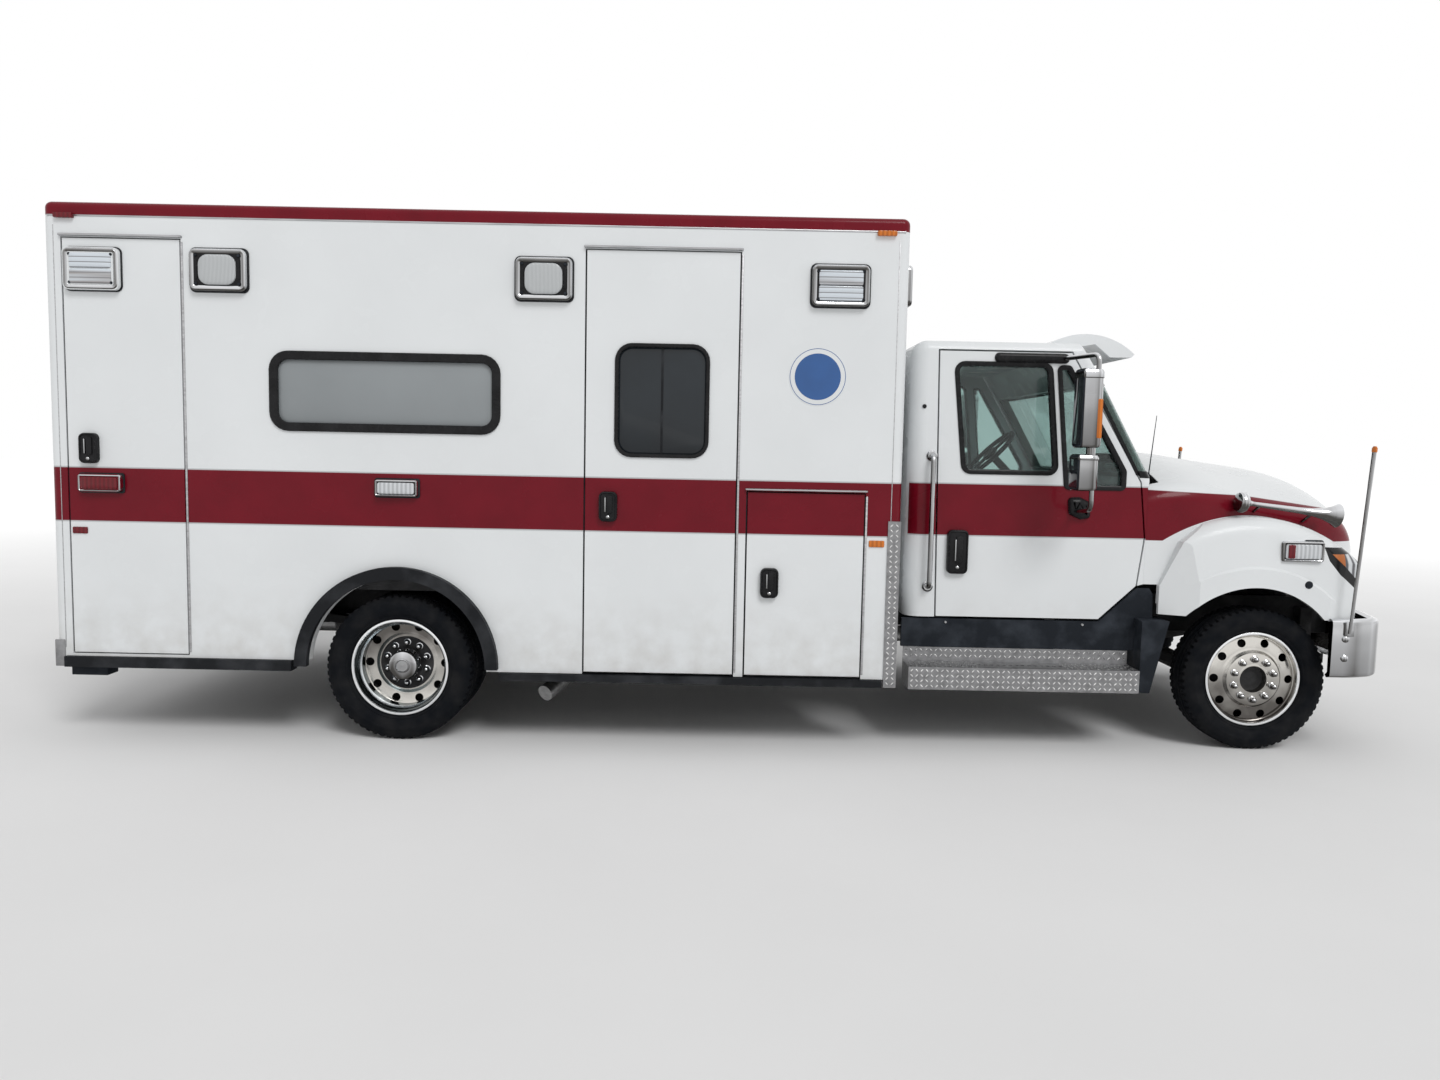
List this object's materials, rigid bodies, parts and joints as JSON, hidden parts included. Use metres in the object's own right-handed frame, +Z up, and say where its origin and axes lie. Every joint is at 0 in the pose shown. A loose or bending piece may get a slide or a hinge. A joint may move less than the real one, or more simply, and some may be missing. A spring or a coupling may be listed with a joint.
{
  "type": "box-bodied ambulance truck",
  "caption": "Conventional-cab truck ambulance with a square patient module, tilting hood, steered front wheels, dual rear wheels and opening doors.",
  "frame": {"origin": "on the ground midway along the vehicle, on its centre plane", "axes": "+X forward, +Y to the vehicle's left, +Z up"},
  "size_m": [7.27, 2.79, 2.8],
  "materials": {
    "white_paint": "gloss",
    "black_frame": "satin",
    "cast_black": "matte",
    "aluminium_rim": "polished",
    "tyre": "matte",
    "glass_tint": "gloss",
    "glass_frost": "satin",
    "chrome": "polished",
    "tread_plate": "satin",
    "rubber": "matte",
    "black_plastic": "matte",
    "lamp_lens": "gloss",
    "steel": "satin",
    "cushion": "satin",
    "seat_fabric": "matte",
    "cabinet": "satin"
  },
  "bodies": {
    "chassis": {"frame_rails": "black_frame", "leaf_springs": "cast_black", "front_axle": "cast_black", "rear_axle": "cast_black", "driveline": "cast_black", "fuel_tank": "steel", "exhaust": "steel", "module_floor": "black_frame", "module_side_right": "white_paint", "module_side_left": "white_paint", "module_rear": "white_paint", "module_front": "white_paint", "module_roof": "white_paint", "lockers": "tread_plate", "interior": "cabinet", "bench_cushion": "cushion", "long_window": "glass_frost", "module_lamps": "lamp_lens", "rubber_trim": "rubber", "tread_plates": "tread_plate", "cab_roof": "white_paint", "cab_shell": "white_paint", "cab_floor": "black_plastic", "windshield": "glass_tint", "dashboard": "black_plastic", "cab_seats": "seat_fabric", "grab_rails": "chrome", "cladding": "black_plastic", "bumper": "chrome"},
    "side_door": {"side_door": "white_paint", "side_door_glass": "glass_tint"},
    "locker_door_right_rear": {"locker_door_right_rear": "white_paint"},
    "locker_door_right_front": {"locker_door_right_front": "white_paint"},
    "locker_door_left_front": {"locker_door_left_front": "white_paint"},
    "locker_door_left_middle": {"locker_door_left_middle": "white_paint"},
    "locker_door_left_rear": {"locker_door_left_rear": "white_paint"},
    "rear_door_left": {"rear_door_left": "white_paint", "rear_door_glass_left": "glass_tint"},
    "cab_door_left": {"cab_door_left": "white_paint", "cab_door_glass_left": "glass_tint", "door_mirror_left": "chrome"},
    "rear_door_right": {"rear_door_right": "white_paint", "rear_door_glass_right": "glass_tint"},
    "cab_door_right": {"cab_door_right": "white_paint", "cab_door_glass_right": "glass_tint", "door_mirror_right": "chrome"},
    "hood": {"hood": "white_paint", "headlamps": "lamp_lens", "grille": "chrome", "air_horns": "chrome"},
    "knuckle_left": {"knuckle_left": "cast_black"},
    "front_wheel_left": {"front_wheel_left": "aluminium_rim", "front_tyre_left": "tyre"},
    "rear_wheels_left": {"rear_wheels_left": "aluminium_rim", "rear_tyres_left": "tyre"},
    "knuckle_right": {"knuckle_right": "cast_black"},
    "front_wheel_right": {"front_wheel_right": "aluminium_rim", "front_tyre_right": "tyre"},
    "rear_wheels_right": {"rear_wheels_right": "aluminium_rim", "rear_tyres_right": "tyre"}
  },
  "joints": [
    {"name": "side_door_hinge", "type": "hinge", "parent": "chassis", "child": "side_door", "pos_m": [-0.008, -1.219, 1.5], "axis": [0, 0, 1], "range_deg": [0, 95]},
    {"name": "locker_right_rear_hinge", "type": "hinge", "parent": "chassis", "child": "locker_door_right_rear", "pos_m": [-2.9, -1.219, 1.5], "axis": [0, 0, 1], "range_deg": [0, 95]},
    {"name": "locker_right_front_hinge", "type": "hinge", "parent": "chassis", "child": "locker_door_right_front", "pos_m": [0.67, -1.219, 0.9], "axis": [0, 0, 1], "range_deg": [0, 95]},
    {"name": "locker_left_front_hinge", "type": "hinge", "parent": "chassis", "child": "locker_door_left_front", "pos_m": [0.67, 1.219, 1.5], "axis": [0, 0, -1], "range_deg": [0, 95]},
    {"name": "locker_left_middle_hinge", "type": "hinge", "parent": "chassis", "child": "locker_door_left_middle", "pos_m": [-0.133, 1.219, 0.9], "axis": [0, 0, -1], "range_deg": [0, 95]},
    {"name": "locker_left_rear_hinge", "type": "hinge", "parent": "chassis", "child": "locker_door_left_rear", "pos_m": [-2.9, 1.219, 1.5], "axis": [0, 0, -1], "range_deg": [0, 95]},
    {"name": "rear_door_left_hinge", "type": "hinge", "parent": "chassis", "child": "rear_door_left", "pos_m": [-3.603, 0.64, 1.5], "axis": [0, 0, -1], "range_deg": [0, 150]},
    {"name": "rear_door_right_hinge", "type": "hinge", "parent": "chassis", "child": "rear_door_right", "pos_m": [-3.603, -0.64, 1.5], "axis": [0, 0, 1], "range_deg": [0, 150]},
    {"name": "cab_door_left_hinge", "type": "hinge", "parent": "chassis", "child": "cab_door_left", "pos_m": [2.231, 1.01, 1.2], "axis": [0, 0, -1], "range_deg": [0, 70]},
    {"name": "cab_door_right_hinge", "type": "hinge", "parent": "chassis", "child": "cab_door_right", "pos_m": [2.231, -1.01, 1.2], "axis": [0, 0, 1], "range_deg": [0, 70]},
    {"name": "hood_tilt", "type": "hinge", "parent": "chassis", "child": "hood", "pos_m": [3.537, 0, 0.8], "axis": [0, 1, 0], "range_deg": [0, 60]},
    {"name": "steer_left", "type": "hinge", "parent": "chassis", "child": "knuckle_left", "pos_m": [2.867, 0.8, 0.392], "axis": [0, 0, 1], "range_deg": [-35, 35]},
    {"name": "steer_right", "type": "hinge", "parent": "chassis", "child": "knuckle_right", "pos_m": [2.867, -0.8, 0.392], "axis": [0, 0, 1], "range_deg": [-35, 35]},
    {"name": "front_wheel_left_spin", "type": "hinge", "parent": "knuckle_left", "child": "front_wheel_left", "pos_m": [2.867, 0.947, 0.392], "axis": [0, 1, 0], "continuous": true},
    {"name": "front_wheel_right_spin", "type": "hinge", "parent": "knuckle_right", "child": "front_wheel_right", "pos_m": [2.867, -0.947, 0.392], "axis": [0, 1, 0], "continuous": true},
    {"name": "rear_wheels_left_spin", "type": "hinge", "parent": "chassis", "child": "rear_wheels_left", "pos_m": [-1.793, 0.952, 0.392], "axis": [0, 1, 0], "continuous": true},
    {"name": "rear_wheels_right_spin", "type": "hinge", "parent": "chassis", "child": "rear_wheels_right", "pos_m": [-1.793, -0.952, 0.392], "axis": [0, 1, 0], "continuous": true}
  ],
  "couplings": [
    {"joint": "steer_right", "follows": "steer_left", "ratio": 1}
  ]
}
